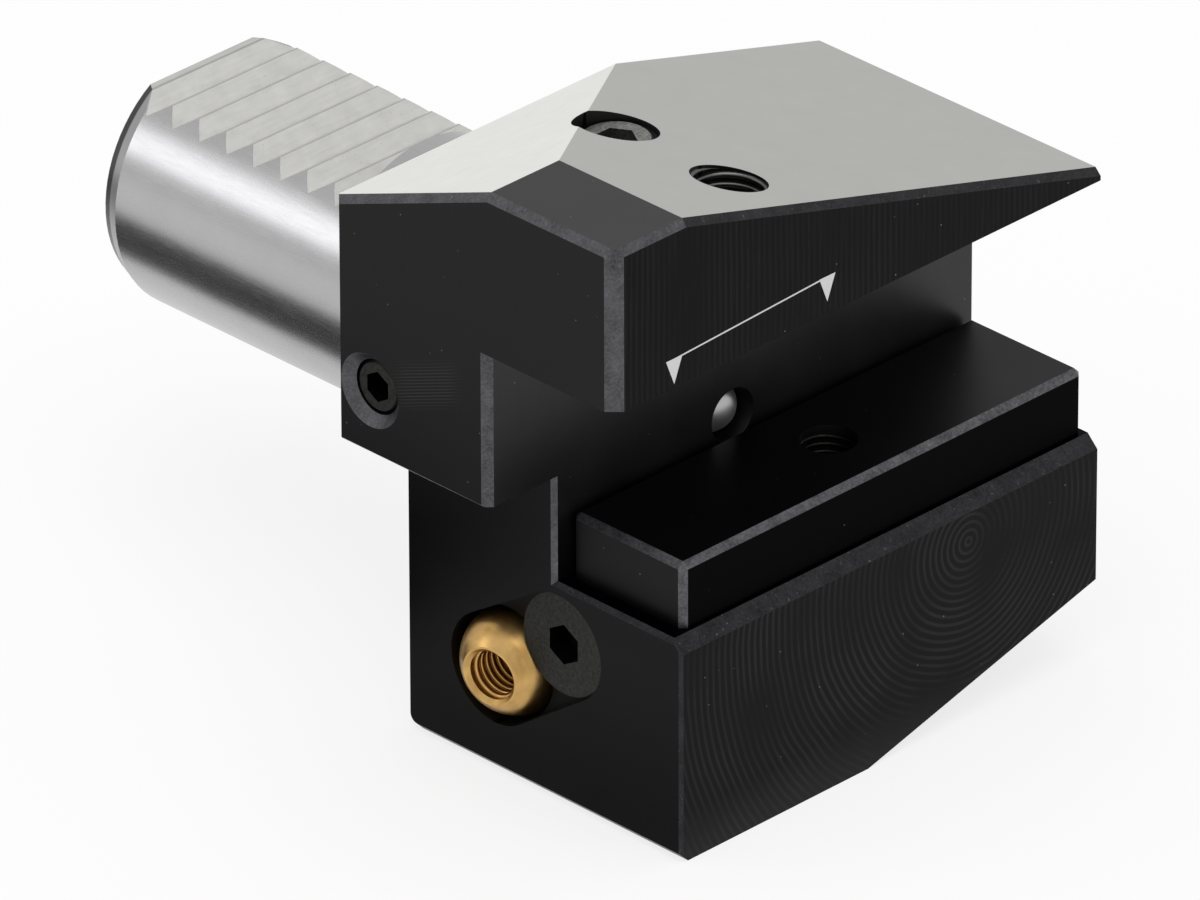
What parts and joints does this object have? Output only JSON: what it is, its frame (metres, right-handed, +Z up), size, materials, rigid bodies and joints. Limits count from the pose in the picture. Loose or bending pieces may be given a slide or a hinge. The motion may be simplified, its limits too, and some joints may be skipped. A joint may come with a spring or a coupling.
{
  "type": "radial tool holder",
  "caption": "Radial tool holder with a serrated round shank, a cross slot for a square tool, a rising clamping bar and a swivelling coolant nozzle.",
  "frame": {"origin": "the shank's axis at the mating face of the flange", "axes": "+Y out along the shank, away from the block; +Z up, towards the toothed flat and the overhang; +X towards the end that the top slopes down to"},
  "size_m": [0.07, 0.0955, 0.0735],
  "materials": {
    "blackened_steel": "blackened and oiled, with a ground shank, top and back bevel",
    "blackened_bar": "blackened and ground",
    "black_oxide_screw": "black oxide",
    "bright_steel": "bright",
    "nozzle_brass": "turned",
    "seal_rubber": "matte"
  },
  "bodies": {
    "holder": {"holder_body": "blackened_steel", "nozzle_clamp_screw": "black_oxide_screw", "nozzle_seal_ring": "seal_rubber", "rear_top_plug": "black_oxide_screw", "front_top_plug": "black_oxide_screw", "cross_drilling_plug": "black_oxide_screw", "upper_drilling_plug": "black_oxide_screw", "shank_end_plug": "black_oxide_screw", "wall_drilling_ball": "bright_steel", "flange_seal_ring": "seal_rubber", "upper_inlet_seal": "seal_rubber", "lower_inlet_seal": "seal_rubber", "tool_port_seal": "seal_rubber", "bar_spring": "bright_steel"},
    "clamping_bar": {"clamp_bar": "blackened_bar", "bar_retaining_screw": "black_oxide_screw", "bar_screw_washer": "bright_steel"},
    "left_clamp_screw": {"clamp_screw_left": "black_oxide_screw"},
    "right_clamp_screw": {"clamp_screw_right": "black_oxide_screw"},
    "nozzle": {"coolant_nozzle": "nozzle_brass"},
    "valve_screw": {"coolant_valve_screw": "black_oxide_screw"}
  },
  "joints": [
    {"name": "bar_lift", "type": "slide", "parent": "holder", "child": "clamping_bar", "axis": [0, 0, 1], "range_m": [0, 0.0023], "deforming": ["bar_spring"]},
    {"name": "left_clamp_screw_travel", "type": "slide", "parent": "holder", "child": "left_clamp_screw", "axis": [0, 0, 1], "range_m": [0, 0.0023]},
    {"name": "right_clamp_screw_travel", "type": "slide", "parent": "holder", "child": "right_clamp_screw", "axis": [0, 0, 1], "range_m": [0, 0.0023]},
    {"name": "nozzle_swivel", "type": "hinge", "parent": "holder", "child": "nozzle", "pos_m": [-0.0222, -0.0133, -0.0228], "axis": [0, 0, 1], "range_deg": [-25, 10]},
    {"name": "valve_screw_travel", "type": "slide", "parent": "holder", "child": "valve_screw", "axis": [1, 0, 0], "range_m": [0, 0.006]}
  ],
  "couplings": [
    {"joint": "left_clamp_screw_travel", "follows": "bar_lift", "ratio": 1},
    {"joint": "right_clamp_screw_travel", "follows": "bar_lift", "ratio": 1}
  ]
}
